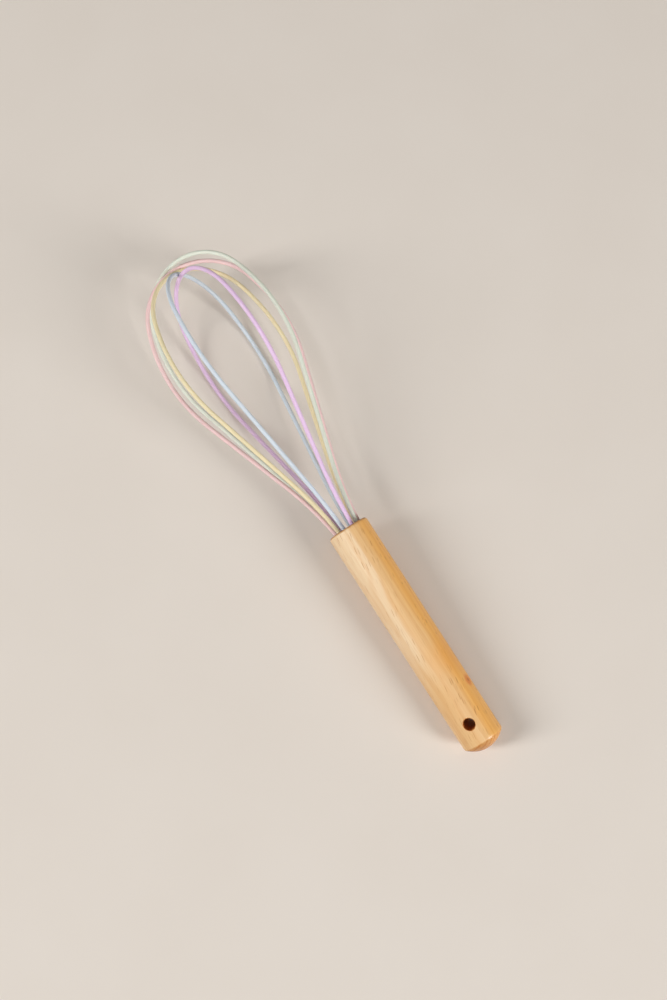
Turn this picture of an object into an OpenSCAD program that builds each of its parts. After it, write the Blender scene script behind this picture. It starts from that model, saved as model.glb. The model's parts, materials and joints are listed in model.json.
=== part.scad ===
// Balloon whisk, lying at rest on a table: a turned wooden handle with a
// domed butt and a hanging hole, and five teardrop loops of steel wire,
// each in its own colour of silicone. The tip points along +X.

/* [Handle] */
// Diameter of the round barrel
handle_diameter = 20; // [18:0.5:26]
// Length of the barrel, from its mouth to where the butt begins to dome
barrel_length = 114; // [90:1:150]
// Height of the domed butt beyond the barrel
crown_height = 4.5; // [2.5:0.25:8]
// Rounding where the barrel meets the dome
butt_edge_radius = 1.2; // [0.6:0.1:2]
// Rounding of the rim around the mouth
mouth_edge_radius = 1.4; // [0.6:0.1:2]
// Diameter of the socket bored into the mouth
socket_diameter = 15.6; // [14.6:0.1:16.2]
// Included angle of the drill point at the bottom of the socket, degrees
drill_point_angle = 118; // [90:1:150]

/* [Hanging hole] */
// Diameter of the hole through the handle
hang_hole_diameter = 5.6; // [4:0.1:8]
// Distance from the hole's axis to the end of the domed butt
hang_hole_from_butt = 14.6; // [11:0.1:30]
// Turn of the hole about the handle's axis, away from upright, degrees
hang_hole_turn = 17; // [0:1:90]
// Width of the eased edge at both ends of the hole
hang_hole_ease = 0.35; // [0.2:0.05:0.8]

/* [Wire] */
// Diameter of the bare steel wire
core_diameter = 1.2; // [0.9:0.05:1.4]
// Diameter of the wire with its silicone
sleeve_diameter = 2; // [1.8:0.05:2.1]
// Clearance between the wire and its silicone, all round
sleeve_clearance = 0.02; // [0.01:0.01:0.04]

/* [Balloon] */
// Distance from the mouth to the outermost loop's tip, on the wire's axis
balloon_reach = 149.6; // [130:0.1:170]
// Half of the balloon's width, on the wires' axes
balloon_radius = 31; // [27:0.1:36]
// How much smaller the radius of a loop's tip bend is than half of the balloon's width
tip_drop = 2.4; // [1.2:0.1:6]
// Radius of the long bend down each side of the belly
belly_radius = 78; // [70:1:110]
// Distance from the mouth to the corner that each leg's flare rounds off
flare_reach = 16; // [12:0.2:20]
// Clearance between one loop and the next where they cross at the tip
nest_gap = 0.16; // [0.14:0.01:0.4]
// Angle between a wire and the axis where it leaves the mouth, degrees
root_angle = 7; // [3:0.5:8]
// Radius of the ring on which the wires stand in the mouth
root_ring_radius = 5.4; // [5.2:0.1:6]
// Radius of the bend that opens the wires just inside the mouth
root_bend_radius = 25; // [15:1:30]
// Sideways lean of the whole balloon, degrees
balloon_lean = 0.6; // [-1:0.1:1]

/* [Seat in the handle] */
// Depth of the open recess in the mouth, in front of the resin
recess_depth = 3.6; // [3.2:0.1:6]
// Length of silicone that runs on into the resin
sleeve_seat = 6; // [3:0.5:10]
// Length of bare wire that runs on beyond the silicone
core_seat = 20; // [10:0.5:30]
// Depth of resin beyond the ends of the wires
resin_beyond_wires = 6.4; // [2:0.2:12]
// Clearance of the resin around the wires and in the socket
resin_clearance = 0.02; // [0.01:0.01:0.05]

/* [Colours] */
// Wood of the handle
wood_colour = "#d3a172"; // [#d3a172:Beech, #e3c79a:Maple, #7b5136:Walnut]
// Bare steel wire
steel_colour = "#b9bcc0"; // [#b9bcc0:Bright, #8f9297:Dull]
// Potting resin
resin_colour = "#4a3a2c"; // [#4a3a2c:Brown, #2b2b2b:Black, #c9b78f:Clear amber]
// Silicone of the green loop
green_colour = "#cfdccb"; // [#cfdccb:Green, #f0bdb6:Pink, #ecd9a6:Yellow, #c9d2dd:Blue, #dfc3dd:Lilac]
// Silicone of the pink loop
pink_colour = "#f0bdb6"; // [#cfdccb:Green, #f0bdb6:Pink, #ecd9a6:Yellow, #c9d2dd:Blue, #dfc3dd:Lilac]
// Silicone of the yellow loop
yellow_colour = "#ecd9a6"; // [#cfdccb:Green, #f0bdb6:Pink, #ecd9a6:Yellow, #c9d2dd:Blue, #dfc3dd:Lilac]
// Silicone of the blue loop
blue_colour = "#c9d2dd"; // [#cfdccb:Green, #f0bdb6:Pink, #ecd9a6:Yellow, #c9d2dd:Blue, #dfc3dd:Lilac]
// Silicone of the lilac loop
lilac_colour = "#dfc3dd"; // [#cfdccb:Green, #f0bdb6:Pink, #ecd9a6:Yellow, #c9d2dd:Blue, #dfc3dd:Lilac]

/* [Hidden] */
$fn = 96;
// Faces round a wire in a quick mesh
wire_faces = 24;
// Overrun of every cut
overrun = 1;
// Bead at every joint between two bends: how far it rises above the wire,
// and how far the bends stop short inside it
bead_rise = 0.01;
joint_trim = 0.03;

// The loops, outermost first: each turns about the axis by its plane angle,
// counted from +Y toward +Z, to the leg that lies on the right.
green = 0;
pink = 1;
yellow = 2;
blue = 3;
lilac = 4;
plane_angles = [152.8, 181.8, 209.9, 241.4, 115.5];
// Lean of each loop's tip out of its plane, degrees
plane_leans = [0.8, 1.8, 0.9, 0.1, -0.8];
// Half width of each leg, as a share of the balloon's radius
right_width_shares = [1, 1.015, 1.045, 0.96, 1.06];
left_width_shares = [1.035, 1.035, 0.98, 0.985, 0.935];
// Sideways shift of each loop's tip toward its right leg, as a share of the wire
tip_shift_shares = [-0.5, 0.15, 0.7, -0.2, 1.3];
// Ring radius of each leg in the mouth, as a share of the common ring
right_root_shares = [1.01, 1.12, 1.01, 0.72, 0.95];
left_root_shares = [1.15, 1.14, 1, 0.83, 1];

handle_radius = handle_diameter / 2;
socket_radius = socket_diameter / 2;
sleeve_radius = sleeve_diameter / 2;
core_radius = core_diameter / 2;
handle_length = barrel_length + crown_height;
// Sphere of the domed butt, and the centre of its edge rounding
dome_radius = (handle_radius * handle_radius + crown_height * crown_height) / (2 * crown_height);
edge_ring = handle_radius - butt_edge_radius;
dome_reach = dome_radius - butt_edge_radius;
edge_height = dome_radius - sqrt(dome_reach * dome_reach - edge_ring * edge_ring);
mouth_ring = handle_radius - mouth_edge_radius;
mouth_height = handle_length - mouth_edge_radius;

// Distance from the mouth to a loop's tip: each loop nests inside the last.
function loop_reach(i) = balloon_reach - i * (sleeve_diameter + nest_gap);

// A leg is its loop's number and its side: 1 for right, -1 for left.
function leg_width(i, side) = balloon_radius * (side > 0 ? right_width_shares[i] : left_width_shares[i]);
function leg_root(i, side) = root_ring_radius * (side > 0 ? right_root_shares[i] : left_root_shares[i]);
function leg_shift(i, side) = side * sleeve_diameter * tip_shift_shares[i];

// Bend at a loop's tip: its radius, the angle it turns through and its centre,
// given in the loop's plane as a point along the axis and then outward
tip_radius = balloon_radius - tip_drop;
function tip_turn(i, side) =
    asin((belly_radius - leg_width(i, side) + leg_shift(i, side)) / (belly_radius - tip_radius));
function tip_centre(i, side) = [loop_reach(i) - tip_radius, leg_shift(i, side)];
// Centre of the belly bend, which carries on from the tip bend
function belly_centre(i, side) =
    tip_centre(i, side)
    + (tip_radius - belly_radius) * [cos(tip_turn(i, side)), sin(tip_turn(i, side))];
// Corner where a leg's straight would meet the line along which the leg leaves
// the mouth, and how much of both lines the flare rounds off
function corner(i, side) = [flare_reach, leg_root(i, side) + flare_reach * tan(root_angle)];
function corner_to_belly(i, side) = belly_centre(i, side) - corner(i, side);
corner_cut = flare_reach / cos(root_angle);
// The straight is the tangent from that corner to the belly bend.
function flare_angle(i, side) =
    atan2(corner_to_belly(i, side)[1], corner_to_belly(i, side)[0])
    + asin(belly_radius / norm(corner_to_belly(i, side)));
function straight_length(i, side) =
    sqrt(corner_to_belly(i, side) * corner_to_belly(i, side) - belly_radius * belly_radius)
    - corner_cut;
function flare_radius(i, side) = corner_cut / tan((flare_angle(i, side) - root_angle) / 2);
function flare_start(i, side) =
    corner(i, side) + corner_cut * [cos(flare_angle(i, side)), sin(flare_angle(i, side))];
function flare_centre(i, side) =
    flare_start(i, side)
    + flare_radius(i, side) * [-sin(flare_angle(i, side)), cos(flare_angle(i, side))];
function root_centre(i, side) =
    [0, leg_root(i, side)] + root_bend_radius * [-sin(root_angle), cos(root_angle)];
// Ring radius of the straight ends in the socket, and where they begin
function seat_ring(i, side) = root_centre(i, side)[1] - root_bend_radius;
root_bend_length = root_bend_radius * sin(root_angle);
sleeve_end = recess_depth + sleeve_seat;
core_end = sleeve_end + core_seat;
socket_depth = core_end + resin_beyond_wires;

// At rest the whisk touches the table at the butt's edge and at its two
// lowest legs, the right blue one and the left lilac one. The slope of the
// table line, seen from the axis, is found in a few steps.
low_leg_angle = abs(270 - plane_angles[blue]);
low_axis = [belly_radius, belly_radius * cos(low_leg_angle)];
low_centre = [belly_centre(blue, 1)[0], -belly_centre(blue, 1)[1] * cos(low_leg_angle)];
butt_centre = [edge_height - handle_length, -edge_ring];
function table_slope(m, steps) =
    steps == 0 ? m : table_slope(
        (low_centre[1] - butt_centre[1]
        - sqrt(low_axis[0] * low_axis[0] * m * m + low_axis[1] * low_axis[1])
        + (butt_edge_radius - sleeve_radius) * sqrt(1 + m * m))
        / (low_centre[0] - butt_centre[0]), steps - 1);
slope = table_slope(0, 8);
rest_rise = -atan(slope);
rest_height = butt_edge_radius + (slope * butt_centre[0] - butt_centre[1]) * cos(rest_rise);
// The origin stands under the middle of the whole length and width.
tip_end = balloon_reach * cos(rest_rise) + sleeve_radius;
butt_end = (dome_radius - handle_length) * cos(rest_rise) - dome_radius;
middle_x = (tip_end + butt_end) / 2;
belly_x = belly_centre(pink, 1)[0];
middle_y = (leg_width(pink, -1) - leg_width(pink, 1)) / 2 + belly_x * sin(balloon_lean);

module at_rest() {
    translate([-middle_x, -middle_y, rest_height])
        rotate([0, -rest_rise, 0])
            children();
}

// A bend in the XY plane about a centre, from one angle on through a turn.
// Both of its ends stop just short, inside the beads that join it on.
module bend(centre, radius, from, turn, thickness) {
    trim = joint_trim / radius * 180 / PI;
    translate([centre[0], centre[1], 0])
        rotate([0, 0, from + trim])
            rotate_extrude(angle = turn - 2 * trim)
                translate([radius, 0])
                    circle(d = thickness, $fn = wire_faces);
}

// The bead that closes the joint at one angle of a bend. Its poles lie on the wire.
module bead(centre, radius, at, thickness) {
    translate([centre[0] + radius * cos(at), centre[1] + radius * sin(at), 0])
        rotate([0, 0, at])
            rotate([90, 0, 0])
                sphere(d = thickness + 2 * bead_rise, $fn = wire_faces);
}

// A straight in the XY plane, from a point on along an angle
module straight(start, length, heading, start_trim, thickness) {
    translate([start[0], start[1], 0])
        rotate([0, 0, heading])
            rotate([0, 90, 0])
                translate([0, 0, start_trim])
                    cylinder(h = length - start_trim - joint_trim, d = thickness, $fn = wire_faces);
}

// One leg of a loop, from the tip back into the socket, on the +Y side
module leg(i, side, seat, thickness) {
    turn = tip_turn(i, side);
    flare = flare_angle(i, side);
    bend(tip_centre(i, side), tip_radius, 0, turn, thickness);
    bead(tip_centre(i, side), tip_radius, turn, thickness);
    bend(belly_centre(i, side), belly_radius, turn, 90 + flare - turn, thickness);
    bead(belly_centre(i, side), belly_radius, 90 + flare, thickness);
    straight(flare_start(i, side), straight_length(i, side), flare, joint_trim, thickness);
    bead(flare_centre(i, side), flare_radius(i, side), flare - 90, thickness);
    bend(flare_centre(i, side), flare_radius(i, side), root_angle - 90, flare - root_angle, thickness);
    bead(flare_centre(i, side), flare_radius(i, side), root_angle - 90, thickness);
    bend(root_centre(i, side), root_bend_radius, -90, root_angle, thickness);
    bead(root_centre(i, side), root_bend_radius, -90, thickness);
    straight([-seat, seat_ring(i, side)], seat - root_bend_length, 0, 0, thickness);
}

// Both legs of a loop in one plane, joined at the tip
module loop_form(i, seat, thickness) {
    leg(i, 1, seat, thickness);
    mirror([0, 1, 0])
        leg(i, -1, seat, thickness);
    bead(tip_centre(i, 1), tip_radius, 0, thickness);
}

// Turns what is drawn in a loop's plane to its place in the balloon
module loop_place(i) {
    at_rest()
        rotate([0, 0, balloon_lean])
            rotate([plane_angles[i], 0, 0])
                rotate([0, -plane_leans[i], 0])
                    children();
}

module loop_wire(i) {
    color(steel_colour)
        loop_place(i)
            loop_form(i, core_end, core_diameter);
}

module loop_silicone(i, colour) {
    color(colour)
        loop_place(i)
            difference() {
                loop_form(i, sleeve_end, sleeve_diameter);
                loop_form(i, sleeve_end + overrun, core_diameter + 2 * sleeve_clearance);
            }
}

// Half of the handle's outline, from the domed butt at the bottom to the mouth
module handle_outline() {
    // Sector of the dome
    intersection() {
        translate([0, dome_radius])
            circle(r = dome_radius);
        polygon([
            [0, -overrun],
            [0, dome_radius],
            [2 * edge_ring, dome_radius + 2 * (edge_height - dome_radius)],
            [2 * edge_ring, -overrun]
        ]);
    }
    translate([edge_ring, edge_height])
        circle(r = butt_edge_radius);
    translate([mouth_ring, mouth_height])
        circle(r = mouth_edge_radius);
    polygon([
        [0, dome_radius],
        [edge_ring, edge_height],
        [handle_radius, edge_height],
        [handle_radius, mouth_height],
        [mouth_ring, mouth_height],
        [mouth_ring, handle_length],
        [0, handle_length]
    ]);
}

// The socket with its drill point, or what fills it, from the mouth down
module socket(radius, top) {
    rotate([0, 90, 0])
        rotate_extrude()
            polygon([
                [0, -socket_depth - radius / tan(drill_point_angle / 2)],
                [radius, -socket_depth],
                [radius, top],
                [0, top]
            ]);
}

// The hole with its eased ends, along Z through the handle's axis
module hanging_hole() {
    hole_radius = hang_hole_diameter / 2;
    cylinder(h = handle_diameter + 2 * overrun, r = hole_radius, center = true);
    for (end = [0, 1])
        mirror([0, 0, end])
            translate([0, 0, handle_radius - hang_hole_ease])
                cylinder(h = hang_hole_ease + overrun, r1 = hole_radius,
                    r2 = hole_radius + hang_hole_ease + overrun);
}

module handle() {
    color(wood_colour)
        at_rest()
            difference() {
                translate([-handle_length, 0, 0])
                    rotate([0, 90, 0])
                        rotate_extrude()
                            handle_outline();
                socket(socket_radius, overrun);
                translate([hang_hole_from_butt - handle_length, 0, 0])
                    rotate([-hang_hole_turn, 0, 0])
                        hanging_hole();
            }
}

// Resin that fills the socket round the wires, up to the recess
module potting_resin() {
    color(resin_colour)
        at_rest()
            difference() {
                socket(socket_radius - resin_clearance, -recess_depth);
                for (i = [green:lilac])
                    rotate([0, 0, balloon_lean])
                        rotate([plane_angles[i], 0, 0])
                            rotate([0, -plane_leans[i], 0])
                                for (side = [1, -1])
                                    translate([0, side * seat_ring(i, side), 0])
                                        rotate([0, 90, 0])
                                            wire_hole();
            }
}

// Hole for one wire end: wide for the silicone, then narrow for the bare wire
module wire_hole() {
    translate([0, 0, -sleeve_end - resin_clearance])
        cylinder(h = sleeve_seat + resin_clearance + overrun,
            d = sleeve_diameter + 2 * resin_clearance);
    translate([0, 0, -core_end - resin_clearance])
        cylinder(h = core_seat + overrun, d = core_diameter + 2 * resin_clearance);
}

module green_wire() { loop_wire(green); }
module green_silicone() { loop_silicone(green, green_colour); }
module pink_wire() { loop_wire(pink); }
module pink_silicone() { loop_silicone(pink, pink_colour); }
module yellow_wire() { loop_wire(yellow); }
module yellow_silicone() { loop_silicone(yellow, yellow_colour); }
module blue_wire() { loop_wire(blue); }
module blue_silicone() { loop_silicone(blue, blue_colour); }
module lilac_wire() { loop_wire(lilac); }
module lilac_silicone() { loop_silicone(lilac, lilac_colour); }

handle();
potting_resin();
green_wire();
green_silicone();
pink_wire();
pink_silicone();
yellow_wire();
yellow_silicone();
blue_wire();
blue_silicone();
lilac_wire();
lilac_silicone();
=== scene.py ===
"""A balloon whisk lying on a pale floor: a turned beech handle and five steel loops sleeved in silicone.

The handle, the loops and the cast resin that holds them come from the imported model. This script gives each
of them the finish of its real material, and sets up the floor, the lamps and the camera.
"""

import json
import math

import bmesh
import bpy
from mathutils import Euler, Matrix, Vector


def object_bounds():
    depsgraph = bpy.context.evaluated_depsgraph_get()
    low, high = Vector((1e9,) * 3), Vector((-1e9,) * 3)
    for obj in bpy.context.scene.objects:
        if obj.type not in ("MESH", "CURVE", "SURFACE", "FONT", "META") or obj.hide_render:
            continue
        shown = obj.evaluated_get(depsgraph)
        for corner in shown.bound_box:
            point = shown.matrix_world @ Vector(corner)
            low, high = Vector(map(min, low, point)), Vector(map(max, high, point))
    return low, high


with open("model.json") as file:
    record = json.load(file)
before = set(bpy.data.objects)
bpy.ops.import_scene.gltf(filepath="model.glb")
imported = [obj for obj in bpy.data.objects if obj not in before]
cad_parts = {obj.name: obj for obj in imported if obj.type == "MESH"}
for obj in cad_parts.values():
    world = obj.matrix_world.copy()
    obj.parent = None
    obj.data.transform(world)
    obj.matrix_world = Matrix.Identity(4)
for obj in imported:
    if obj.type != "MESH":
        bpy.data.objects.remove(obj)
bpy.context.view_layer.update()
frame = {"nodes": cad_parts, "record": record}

# The scene is in metres, and the wood's own places and sizes are in millimetres.
MM = 0.001

# The mount is the hanging hole, and its middle lies on the handle's axis. The hole is drilled square to the
# axis, so its own direction tells how far the handle rises from butt to mouth.
hanging_hole = frame["record"]["mounts"][0]
hole_centre = Vector(hanging_hole["pos_m"])
hole_direction = Vector(hanging_hole["axis"])
hole_radius = hanging_hole["dims"]["r_mm"]
handle_rise = math.atan2(-hole_direction.x, hole_direction.z)
level_handle = Euler((0, handle_rise, 0))

# The Mix node's sockets when it mixes colours, and those that differ when it mixes vectors.
MIX_FACTOR = 0
MIX_FIRST = 6
MIX_SECOND = 7
MIX_RESULT = 2
MIX_FIRST_VECTOR = 4
MIX_SECOND_VECTOR = 5
MIX_VECTOR_RESULT = 1


def linear(hex_colour):
    """Turns an sRGB hex colour into the linear colour that a shader takes."""
    channels = [int(hex_colour[at:at + 2], 16) / 255 for at in (1, 3, 5)]
    return [c / 12.92 if c <= 0.04045 else ((c + 0.055) / 1.055) ** 2.4 for c in channels] + [1]


def add(tree, kind, inputs, **settings):
    """Adds one node: its settings, then for each input a value or the socket that feeds it."""
    node = tree.nodes.new("ShaderNode" + kind)
    for name, value in settings.items():
        setattr(node, name, value)
    for socket, value in inputs.items():
        if isinstance(value, bpy.types.NodeSocket):
            tree.links.new(value, node.inputs[socket])
        else:
            node.inputs[socket].default_value = value
    return node


def start_material(name):
    """A named material with an empty tree."""
    material = bpy.data.materials.new(name)
    material.use_nodes = True
    material.node_tree.nodes.clear()
    return material, material.node_tree


def dress(name, material):
    """Gives one node of the model its finish."""
    slots = frame["nodes"][name].data.materials
    slots.clear()
    slots.append(material)


def from_hole(tree, place):
    """The place in millimetres from the hole's centre: x towards the mouth, y to the left and z above."""
    centre = hole_centre.copy()
    centre.rotate(level_handle)
    return add(tree, "Mapping", {
        "Vector": place,
        "Location": -centre / MM,
        "Rotation": level_handle,
        "Scale": (1 / MM, 1 / MM, 1 / MM),
    }).outputs[0]


def from_pith(tree, handle_place):
    """The place from the tree's pith, and how far it lies along the pith, round it and out from it.

    The pith lay some 34 mm off the handle's axis, so the growth rings cross the handle as wide arcs. It
    drew nearer towards the butt, so the rings run a little askew.
    """
    pith_to_hole = (0, 28.5, 18.5)
    skew = math.radians(0.65)
    pith_place = add(tree, "Mapping", {
        "Vector": handle_place, "Location": pith_to_hole, "Rotation": (0, -skew, skew),
    }).outputs[0]
    split = add(tree, "SeparateXYZ", {0: pith_place})
    along, aside, above = split.outputs[0], split.outputs[1], split.outputs[2]
    around = add(tree, "Math", {0: above, 1: aside}, operation="ARCTAN2").outputs[0]
    across_grain = add(tree, "VectorMath", {0: pith_place, 1: (0, 1, 1)}, operation="MULTIPLY").outputs[0]
    reach = add(tree, "VectorMath", {0: across_grain}, operation="LENGTH").outputs["Value"]
    return pith_place, along, around, reach


def wandering(tree, handle_place, reach):
    """The reach as the rings have it. The trunk was never quite straight, so they wander by 1 or 2 mm."""
    sway_length = 48
    sway_width = 12
    sway_depth = 4.5
    sway_place = add(tree, "Mapping", {
        "Vector": handle_place, "Scale": (1 / sway_length, 1 / sway_width, 1 / sway_width),
    })
    sway = add(tree, "TexNoise", {"Vector": sway_place.outputs[0], "Scale": 1, "Detail": 2}).outputs[0]
    return add(tree, "Math", {0: sway, 1: sway_depth, 2: reach}, operation="MULTIPLY_ADD").outputs[0]


def heartwood_to_sapwood(tree, ring_reach, along):
    """Heartwood lies nearer the pith and is more orange. The wood pales outwards, and sapwood is palest."""
    heartwood_edge = 38
    pale_wood = 43
    sapwood_edge = 44
    full_sapwood = 45.6
    # The sapwood peters out some 30 mm from the hole.
    fade_start = 48
    fade_end = 15
    outer_wood = add(tree, "MapRange", {
        "Value": ring_reach, "From Min": heartwood_edge, "From Max": pale_wood,
    }, interpolation_type="SMOOTHSTEP").outputs[0]
    ripened = add(tree, "Mix", {
        MIX_FACTOR: outer_wood, MIX_FIRST: linear("#f6bc69"), MIX_SECOND: linear("#eac18a"),
    }, data_type="RGBA").outputs[MIX_RESULT]
    sapwood_side = add(tree, "MapRange", {
        "Value": ring_reach, "From Min": sapwood_edge, "From Max": full_sapwood,
    }, interpolation_type="SMOOTHSTEP").outputs[0]
    sapwood_end = add(tree, "MapRange", {
        "Value": along, "From Min": fade_end, "From Max": fade_start,
    }, interpolation_type="SMOOTHSTEP").outputs[0]
    sapwood = add(tree, "Math", {0: sapwood_side, 1: sapwood_end}, operation="MULTIPLY").outputs[0]
    return add(tree, "Mix", {
        MIX_FACTOR: sapwood, MIX_FIRST: ripened, MIX_SECOND: linear("#f2d7b1"),
    }, data_type="RGBA").outputs[MIX_RESULT]


def growth_rings(tree, colour, ring_reach, end_grain):
    """Pale early wood and darker late wood by turns, plainest on the end grain as arcs about the pith."""
    ring_width = 2.2
    ring_turn = add(tree, "Math", {
        0: ring_reach, 1: 2 * math.pi / ring_width,
    }, operation="MULTIPLY").outputs[0]
    ring_wave = add(tree, "Math", {0: ring_turn}, operation="SINE").outputs[0]
    ring_depth = add(tree, "MapRange", {"Value": end_grain, "To Min": 0.32, "To Max": 0.95}).outputs[0]
    late_wood = add(tree, "MapRange", {
        "Value": ring_wave, "From Min": -0.2, "From Max": 1, "To Max": ring_depth,
    }, interpolation_type="SMOOTHSTEP").outputs[0]
    return add(tree, "Mix", {
        MIX_FACTOR: late_wood, MIX_FIRST: colour, MIX_SECOND: linear("#f1dcc2"),
    }, data_type="RGBA", blend_type="MULTIPLY").outputs[MIX_RESULT]


def wood_fibres(tree, colour, handle_place):
    """The fibres and the colour with them in it.

    Fibres run for 25 mm and more. They are a few hundredths of a millimetre wide, too fine to show, and are
    drawn 0.7 mm wide.
    """
    fibre_length = 25
    fibre_width = 0.7
    fibre_place = add(tree, "Mapping", {
        "Vector": handle_place, "Scale": (1 / fibre_length, 1 / fibre_width, 1 / fibre_width),
    })
    fibre = add(tree, "TexNoise", {"Vector": fibre_place.outputs[0], "Scale": 1, "Detail": 3}).outputs[0]
    fibre_shade = add(tree, "MapRange", {
        "Value": fibre, "From Min": 0.3, "From Max": 0.7, "To Max": 0.5,
    }).outputs[0]
    fibred = add(tree, "Mix", {
        MIX_FACTOR: fibre_shade, MIX_FIRST: colour, MIX_SECOND: linear("#efdcc4"),
    }, data_type="RGBA", blend_type="MULTIPLY").outputs[MIX_RESULT]
    return fibre, fibred


def ray_flecks(tree, colour, pith_place, along, around, reach):
    """Short brown flecks, where rays meet the surface.

    Rays are thin sheets that run out from the pith. A cell of this size along, round and out from the pith
    may hold one, 3 to 4 mm long and a quarter of a millimetre thick. They lean a little across the grain,
    and gather in drifts. Millimetres round the pith are measured at the middle reach.
    """
    ray_cell = (8, 0.5, 1.6)
    ray_lean = math.radians(7)
    middle_reach = 40
    drift_length = 26
    drift_width = 4
    round_pith = add(tree, "Math", {0: around, 1: middle_reach}, operation="MULTIPLY").outputs[0]
    unrolled = add(tree, "CombineXYZ", {0: along, 1: round_pith, 2: reach}).outputs[0]
    ray_place = add(tree, "Mapping", {
        "Vector": unrolled, "Rotation": (0, 0, ray_lean), "Scale": ray_cell,
    }, vector_type="TEXTURE")
    rays = add(tree, "TexVoronoi", {"Vector": ray_place.outputs[0], "Scale": 1})
    ray_lot = add(tree, "SeparateColor", {0: rays.outputs["Color"]})
    ray_shape = add(tree, "MapRange", {
        "Value": rays.outputs["Distance"], "From Min": 0.32, "From Max": 0.22,
    }, interpolation_type="SMOOTHSTEP").outputs[0]
    ray_strength = add(tree, "MapRange", {
        "Value": ray_lot.outputs[0], "From Min": 0.25, "From Max": 1, "To Max": 0.72,
    }).outputs[0]
    drift_place = add(tree, "Mapping", {
        "Vector": pith_place, "Scale": (1 / drift_length, 1 / drift_width, 1 / drift_width),
    })
    drift = add(tree, "TexNoise", {"Vector": drift_place.outputs[0], "Scale": 1, "Detail": 1}).outputs[0]
    gathered = add(tree, "MapRange", {
        "Value": drift, "From Min": 0.35, "From Max": 0.6, "To Min": 0.3,
    }).outputs[0]
    strong_ray = add(tree, "Math", {0: ray_shape, 1: ray_strength}, operation="MULTIPLY").outputs[0]
    ray = add(tree, "Math", {0: strong_ray, 1: gathered}, operation="MULTIPLY").outputs[0]
    return add(tree, "Mix", {
        MIX_FACTOR: ray, MIX_FIRST: colour, MIX_SECOND: linear("#ba7a3c"),
    }, data_type="RGBA").outputs[MIX_RESULT]


def pin_knot(tree, colour, handle_place):
    """A pin knot 16 mm on from the hole, on the heartwood side: a red ring about a small brown eye.

    It is a little longer along the grain, and the wood that grew past it is warmer for some 20 mm.
    """
    knot = (16.4, -8.3, 5.6)
    knot_stretch = 1.2
    ring_radius = 3.2
    full_ring = 1.2
    eye_radius = 1
    full_eye = 0.3
    warm_wood = (31, -7.5, 6.5)
    warm_radius = 14
    full_warmth = 3
    warm_reach = add(tree, "VectorMath", {
        0: handle_place, 1: warm_wood,
    }, operation="DISTANCE").outputs["Value"]
    warmed = add(tree, "MapRange", {
        "Value": warm_reach, "From Min": warm_radius, "From Max": full_warmth, "To Max": 0.5,
    }, interpolation_type="SMOOTHSTEP").outputs[0]
    warm = add(tree, "Mix", {
        MIX_FACTOR: warmed, MIX_FIRST: colour, MIX_SECOND: linear("#eda653"),
    }, data_type="RGBA").outputs[MIX_RESULT]
    from_knot = add(tree, "VectorMath", {0: handle_place, 1: knot}, operation="SUBTRACT").outputs[0]
    rounded = add(tree, "VectorMath", {
        0: from_knot, 1: (1 / knot_stretch, 1, 1),
    }, operation="MULTIPLY").outputs[0]
    knot_reach = add(tree, "VectorMath", {0: rounded}, operation="LENGTH").outputs["Value"]
    knot_ring = add(tree, "MapRange", {
        "Value": knot_reach, "From Min": ring_radius, "From Max": full_ring, "To Max": 0.7,
    }, interpolation_type="SMOOTHSTEP").outputs[0]
    ringed_knot = add(tree, "Mix", {
        MIX_FACTOR: knot_ring, MIX_FIRST: warm, MIX_SECOND: linear("#dd751f"),
    }, data_type="RGBA").outputs[MIX_RESULT]
    knot_eye = add(tree, "MapRange", {
        "Value": knot_reach, "From Min": eye_radius, "From Max": full_eye, "To Max": 0.45,
    }, interpolation_type="SMOOTHSTEP").outputs[0]
    return add(tree, "Mix", {
        MIX_FACTOR: knot_eye, MIX_FIRST: ringed_knot, MIX_SECOND: linear("#93400e"),
    }, data_type="RGBA").outputs[MIX_RESULT]


def oiled_end_and_painted_sheen(tree, colour, handle_place, end_grain):
    """End grain drinks the oil and turns deeper; on the heartwood side it is painted paler, a painted sheen.
    """
    painted_sheen_side = -6
    sapwood_side = 4
    # Less deepening towards the heartwood side is a painted sheen, where light from behind the butt falls.
    across = add(tree, "SeparateXYZ", {0: handle_place}).outputs[1]
    soak_less_painted_sheen = add(tree, "MapRange", {
        "Value": across, "From Min": painted_sheen_side, "From Max": sapwood_side, "To Min": 0.32,
    }).outputs[0]
    end_soak_less_painted_sheen = add(tree, "Math", {0: end_grain, 1: soak_less_painted_sheen}, operation="MULTIPLY").outputs[0]
    return add(tree, "Mix", {
        MIX_FACTOR: end_soak_less_painted_sheen, MIX_FIRST: colour, MIX_SECOND: linear("#d7b682"),
    }, data_type="RGBA", blend_type="MULTIPLY").outputs[MIX_RESULT]


def drilled_wall(tree, colour, handle_place):
    """Where the drill cut, and the colour with it: painted shade, a darker orange brown on the hole's wall.
    """
    hole_shade_depth = 0.25
    full_hole_shade = 0.02
    drill = hole_direction.copy()
    drill.rotate(level_handle)
    off_drill = add(tree, "VectorMath", {0: handle_place, 1: drill}, operation="CROSS_PRODUCT").outputs[0]
    drill_reach = add(tree, "VectorMath", {0: off_drill}, operation="LENGTH").outputs["Value"]
    drilled = add(tree, "MapRange", {
        "Value": drill_reach, "From Min": hole_radius + hole_shade_depth, "From Max": hole_radius + full_hole_shade,
    }, interpolation_type="SMOOTHSTEP").outputs[0]
    # Painted shade: the drilled wall is painted darker, deepening the hole.
    with_painted_hole_shade = add(tree, "Mix", {
        MIX_FACTOR: drilled, MIX_FIRST: colour, MIX_SECOND: linear("#c3762e"),
    }, data_type="RGBA").outputs[MIX_RESULT]
    return drilled, with_painted_hole_shade


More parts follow.
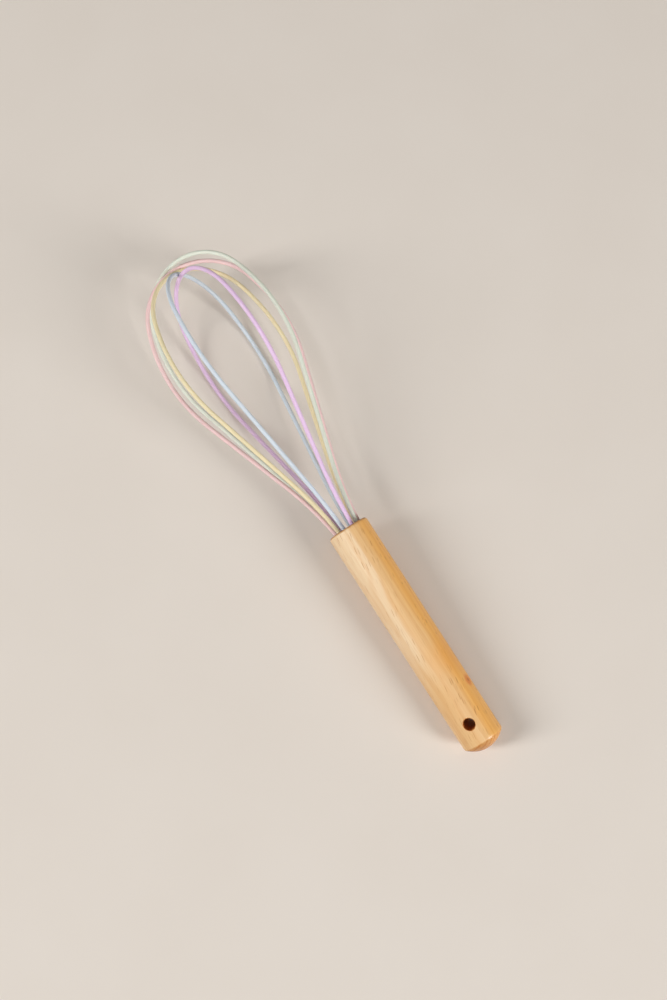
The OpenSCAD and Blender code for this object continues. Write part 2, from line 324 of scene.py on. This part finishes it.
def painted_mouth_shade(tree, colour, handle_place, along):
    """Painted shade: the mouth's lip is darkened for a millimetre round the bore, where the loops go in."""
    shade_radius = 8.7
    unshaded_radius = 9.6
    mid_handle = 50
    from_axis = add(tree, "VectorMath", {0: handle_place, 1: (0, 1, 1)}, operation="MULTIPLY").outputs[0]
    axis_reach = add(tree, "VectorMath", {0: from_axis}, operation="LENGTH").outputs["Value"]
    in_bore = add(tree, "MapRange", {
        "Value": axis_reach, "From Min": unshaded_radius, "From Max": shade_radius,
    }, interpolation_type="SMOOTHSTEP").outputs[0]
    at_mouth = add(tree, "Math", {0: along, 1: mid_handle}, operation="GREATER_THAN").outputs[0]
    painted_lip_shade = add(tree, "Math", {0: in_bore, 1: at_mouth}, operation="MULTIPLY").outputs[0]
    # Painted shade on the lip round the bore.
    return add(tree, "Mix", {
        MIX_FACTOR: painted_lip_shade, MIX_FIRST: colour, MIX_SECOND: linear("#a05a24"),
    }, data_type="RGBA").outputs[MIX_RESULT]


def satin_sheen(tree, fibre, facing_end, drilled):
    """The roughness: the turner's cloth burnishes the end grain, and the drill leaves the hole dull."""
    drill_dullness = 0.45
    satin = add(tree, "MapRange", {"Value": fibre, "To Min": 0.3, "To Max": 0.44}).outputs[0]
    shine = add(tree, "MapRange", {
        "Value": facing_end, "From Min": 0.15, "From Max": 0.45, "To Min": 1, "To Max": 0.6,
    }).outputs[0]
    burnished = add(tree, "Math", {0: satin, 1: shine}, operation="MULTIPLY").outputs[0]
    return add(tree, "Math", {
        0: drilled, 1: drill_dullness, 2: burnished,
    }, operation="MULTIPLY_ADD").outputs[0]


def sanded_face(tree, fibre, along):
    """The normal: sanding leaves the fibres barely proud, and eases the butt's edge over 3 mm."""
    easing_start = -7
    easing_end = -10
    eased_edge = 3 * MM
    fibre_height = 0.05 * MM
    at_butt = add(tree, "MapRange", {
        "Value": along, "From Min": easing_start, "From Max": easing_end,
    }, interpolation_type="SMOOTHSTEP").outputs[0]
    eased = add(tree, "Bevel", {"Radius": eased_edge}, samples=16).outputs[0]
    turned = add(tree, "NewGeometry", {}).outputs["Normal"]
    blended = add(tree, "Mix", {
        MIX_FACTOR: at_butt, MIX_FIRST_VECTOR: turned, MIX_SECOND_VECTOR: eased,
    }, data_type="VECTOR").outputs[MIX_VECTOR_RESULT]
    face = add(tree, "VectorMath", {0: blended}, operation="NORMALIZE").outputs[0]
    return add(tree, "Bump", {
        "Height": fibre, "Strength": 0.3, "Distance": fibre_height, "Normal": face,
    }).outputs[0]


# Turned beech: straight-grained honey wood, turned, sanded fine and rubbed with oil, so it has a low satin
# sheen. The eye sees soft growth bands, paler sapwood along one side, fine fibres, short brown ray flecks
# along the grain, a small red pin knot, and a deeper colour where the oil soaked into the end grain. Light
# and shade are painted in three places: a painted sheen keeps one side of the butt's end grain paler, and
# painted shade darkens the drilled hole's wall and the mouth's lip round the bore.
def turned_beech():
    material, tree = start_material("turned_oiled_beech")
    place = add(tree, "TexCoord", {})
    handle_place = from_hole(tree, place.outputs["Object"])
    pith_place, along, around, reach = from_pith(tree, handle_place)
    ring_reach = wandering(tree, handle_place, reach)
    ground = heartwood_to_sapwood(tree, ring_reach, along)

    # How far a face looks along the grain: 0 on the barrel and 1 on the ends.
    facing = add(tree, "SeparateXYZ", {0: place.outputs["Normal"]}).outputs[0]
    facing_end = add(tree, "Math", {0: facing}, operation="ABSOLUTE").outputs[0]
    end_grain = add(tree, "MapRange", {
        "Value": facing_end, "From Min": 0.15, "From Max": 0.8,
    }, interpolation_type="SMOOTHSTEP").outputs[0]

    ringed = growth_rings(tree, ground, ring_reach, end_grain)
    fibre, fibred = wood_fibres(tree, ringed, handle_place)
    flecked = ray_flecks(tree, fibred, pith_place, along, around, reach)
    knotted = pin_knot(tree, flecked, handle_place)
    # The end grain's oil with a painted sheen on one side of the butt, then painted shade in the hole and at
    # the mouth.
    end_soaked_with_sheen = oiled_end_and_painted_sheen(tree, knotted, handle_place, end_grain)
    drilled, with_painted_hole_shade = drilled_wall(tree, end_soaked_with_sheen, handle_place)
    finish = add(tree, "BsdfPrincipled", {
        "Base Color": painted_mouth_shade(tree, with_painted_hole_shade, handle_place, along),
        "Roughness": satin_sheen(tree, fibre, facing_end, drilled),
        "Normal": sanded_face(tree, fibre, along),
        "IOR": 1.5,
    })
    add(tree, "OutputMaterial", {"Surface": finish.outputs[0]})
    return material


# Silicone rubber: extruded as a soft tube and slipped over the wire. Its surface is satin and slightly
# waxy, light goes a little way into it, and pastel pigment makes it nearly opaque. The pigment clouds it
# faintly, and its skin has a fine matt tooth.
def extruded_silicone(name, colour):
    cloud_size = 9 * MM
    # The skin's tooth is under a tenth of a millimetre, too fine to show, and is drawn at half a millimetre.
    tooth_size = 0.5 * MM
    tooth_height = 0.03 * MM
    light_depth = 0.4 * MM
    material, tree = start_material(name + "_silicone_rubber")
    place = add(tree, "TexCoord", {})
    cloud = add(tree, "TexNoise", {"Vector": place.outputs["Object"], "Scale": 1 / cloud_size, "Detail": 2})
    shade = add(tree, "MapRange", {"Value": cloud.outputs[0], "To Min": 0.95, "To Max": 1.05})
    tint = add(tree, "HueSaturation", {"Value": shade.outputs[0], "Color": linear(colour)})
    tooth = add(tree, "TexNoise", {"Vector": place.outputs["Object"], "Scale": 1 / tooth_size, "Detail": 2})
    satin = add(tree, "MapRange", {"Value": tooth.outputs[0], "To Min": 0.44, "To Max": 0.58})
    skin = add(tree, "Bump", {"Height": tooth.outputs[0], "Strength": 0.12, "Distance": tooth_height})
    finish = add(tree, "BsdfPrincipled", {
        "Base Color": tint.outputs["Color"],
        "Roughness": satin.outputs[0],
        "Normal": skin.outputs[0],
        "IOR": 1.41,
        "Subsurface Weight": 0.2,
        "Subsurface Radius": (1, 0.8, 0.7),
        "Subsurface Scale": light_depth,
    })
    add(tree, "OutputMaterial", {"Surface": finish.outputs[0]})
    return material


# Stainless steel: drawn through a die into round wire, so it is bright, with faint dull patches where the
# drawing soap held.
def drawn_steel():
    patch_size = 0.6 * MM
    material, tree = start_material("drawn_stainless_steel")
    place = add(tree, "TexCoord", {})
    patch = add(tree, "TexNoise", {"Vector": place.outputs["Object"], "Scale": 1 / patch_size, "Detail": 1})
    dull = add(tree, "MapRange", {"Value": patch.outputs[0], "To Min": 0.24, "To Max": 0.36})
    finish = add(tree, "BsdfPrincipled", {
        "Base Color": linear("#c9c8c5"),
        "Metallic": 1,
        "Roughness": dull.outputs[0],
    })
    add(tree, "OutputMaterial", {"Surface": finish.outputs[0]})
    return material


# Epoxy resin: poured into the socket round the loops and left to set. It is dark brown, cloudy where the
# filler settled, and has the low gloss of a cast face that set a little wavy.
def cast_resin():
    cloud_size = 3 * MM
    wave_height = 0.2 * MM
    material, tree = start_material("cast_epoxy_resin")
    place = add(tree, "TexCoord", {})
    cloud = add(tree, "TexNoise", {"Vector": place.outputs["Object"], "Scale": 1 / cloud_size, "Detail": 3})
    tint = add(tree, "Mix", {
        MIX_FACTOR: cloud.outputs[0], MIX_FIRST: linear("#2e2119"), MIX_SECOND: linear("#443226"),
    }, data_type="RGBA")
    wave = add(tree, "Bump", {"Height": cloud.outputs[0], "Strength": 0.5, "Distance": wave_height})
    dull = add(tree, "MapRange", {"Value": cloud.outputs[0], "To Min": 0.25, "To Max": 0.45})
    finish = add(tree, "BsdfPrincipled", {
        "Base Color": tint.outputs[MIX_RESULT],
        "Roughness": dull.outputs[0],
        "Normal": wave.outputs[0],
        "IOR": 1.54,
    })
    add(tree, "OutputMaterial", {"Surface": finish.outputs[0]})
    return material


# The even tone of the room behind the floor.
BACKDROP_TONE = "#dcd4ca"


# Backdrop paper: uncoated and rolled out flat, so it is pale and matt, with a faint cloud in its tone every
# 60 mm. Away from the whisk the camera sees it fade into the room's tone, so no far edge shows.
def backdrop_paper():
    cloud_size = 60 * MM
    fade_start = 0.4
    fade_end = 1.1
    material, tree = start_material("pale_backdrop_paper")
    place = add(tree, "TexCoord", {})
    cloud = add(tree, "TexNoise", {"Vector": place.outputs["Object"], "Scale": 1 / cloud_size, "Detail": 3})
    shade = add(tree, "Mix", {
        MIX_FACTOR: cloud.outputs[0], MIX_FIRST: linear("#ddd4ca"), MIX_SECOND: linear("#e2dad1"),
    }, data_type="RGBA")
    paper = add(tree, "BsdfPrincipled", {
        "Base Color": shade.outputs[MIX_RESULT],
        "Roughness": 0.85,
        "IOR": 1.45,
    })
    room = add(tree, "Emission", {"Color": linear(BACKDROP_TONE), "Strength": 1})
    off_middle = add(tree, "VectorMath", {0: place.outputs["Object"]}, operation="LENGTH")
    far = add(tree, "MapRange", {
        "Value": off_middle.outputs["Value"], "From Min": fade_start, "From Max": fade_end,
    }, interpolation_type="SMOOTHSTEP")
    ray = add(tree, "LightPath", {})
    fade = add(tree, "Math", {0: far.outputs[0], 1: ray.outputs["Is Camera Ray"]}, operation="MULTIPLY")
    blend = add(tree, "MixShader", {0: fade.outputs[0], 1: paper.outputs[0], 2: room.outputs[0]})
    add(tree, "OutputMaterial", {"Surface": blend.outputs[0]})
    return material


dress("handle", turned_beech())
dress("potting_resin", cast_resin())
steel = drawn_steel()
sleeve_colours = {
    "green": "#dee3d5",
    "pink": "#f0cfce",
    "yellow": "#ebddb5",
    "blue": "#d3dde7",
    "lilac": "#e8c9ea",
}
for sleeve, colour in sleeve_colours.items():
    dress(sleeve + "_silicone", extruded_silicone(sleeve, colour))
    dress(sleeve + "_wire", steel)

# The floor lies under the lowest point of the whisk.
floor_side = 8
shape = bmesh.new()
bmesh.ops.create_grid(shape, x_segments=1, y_segments=1, size=floor_side / 2)
bmesh.ops.translate(shape, vec=(0, 0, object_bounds()[0].z), verts=shape.verts)
floor_mesh = bpy.data.meshes.new("floor")
shape.to_mesh(floor_mesh)
shape.free()
floor_mesh.materials.append(backdrop_paper())
floor = bpy.data.objects.new("floor", floor_mesh)
bpy.context.scene.collection.objects.link(floor)

# Every lamp stands this far from the whisk.
LAMP_DISTANCE = 2.5


def soft_box(name, bearing, elevation, width, height, floor_share):
    """A soft box aimed at the whisk. It gives the floor there this share of its plain light.

    A flat lamp of W watts gives a face square to it W / (pi x distance squared), and light of pi shows a
    colour as it is written.
    """
    lamp = bpy.data.lights.new(name, "AREA")
    lamp.shape = "ELLIPSE"
    lamp.size = width
    lamp.size_y = height
    rise = math.radians(elevation)
    towards = Vector((
        math.cos(rise) * math.cos(math.radians(bearing)),
        math.cos(rise) * math.sin(math.radians(bearing)),
        math.sin(rise),
    ))
    lamp.energy = floor_share * (math.pi * LAMP_DISTANCE) ** 2 / towards.z
    stand = bpy.data.objects.new(name, lamp)
    stand.location = towards * LAMP_DISTANCE
    stand.rotation_euler = towards.to_track_quat("Z", "Y").to_euler()
    stand.visible_camera = False
    bpy.context.scene.collection.objects.link(stand)


# Soft boxes on the whisk's left, to the right behind its butt and overhead, and the even light of the room.
soft_box("left_soft_box", bearing=70, elevation=38, width=0.6, height=1.6, floor_share=0.38)
soft_box("right_soft_box", bearing=209, elevation=32, width=0.8, height=1.6, floor_share=0.34)
soft_box("overhead_soft_box", bearing=150, elevation=70, width=1.6, height=1.6, floor_share=0.15)
room_share = 0.16

world = bpy.data.worlds.new("studio")
world.use_nodes = True
room = world.node_tree
room.nodes.clear()
seen = add(room, "LightPath", {})
seen_or_mirrored = add(room, "Math", {
    0: seen.outputs["Is Camera Ray"], 1: seen.outputs["Is Glossy Ray"],
}, operation="MAXIMUM")
seen_at_all = add(room, "Math", {
    0: seen_or_mirrored.outputs[0], 1: seen.outputs["Is Transmission Ray"],
}, operation="MAXIMUM")
brightness = add(room, "MapRange", {"Value": seen_at_all.outputs[0], "To Min": room_share, "To Max": 1})
backdrop = add(room, "Background", {"Color": linear(BACKDROP_TONE), "Strength": brightness.outputs[0]})
add(room, "OutputWorld", {"Surface": backdrop.outputs[0]})
bpy.context.scene.world = world
bpy.context.scene.view_settings.view_transform = "Standard"

# The camera hangs above the whisk, tipped ten degrees off straight down. Its place and lens are those that
# set the whisk where the photograph has it.
camera_place = Vector((-85.2965, 56.2794, 565.9487)) * MM
camera_turns = (10.6345, -0.4569, -122.8976)
camera = bpy.data.cameras.new("camera")
camera.sensor_fit = "AUTO"
camera.sensor_width = 36
camera.lens = 43.2
camera_stand = bpy.data.objects.new("camera", camera)
camera_stand.location = camera_place
camera_stand.rotation_euler = [math.radians(turn) for turn in camera_turns]
bpy.context.scene.collection.objects.link(camera_stand)
bpy.context.scene.camera = camera_stand
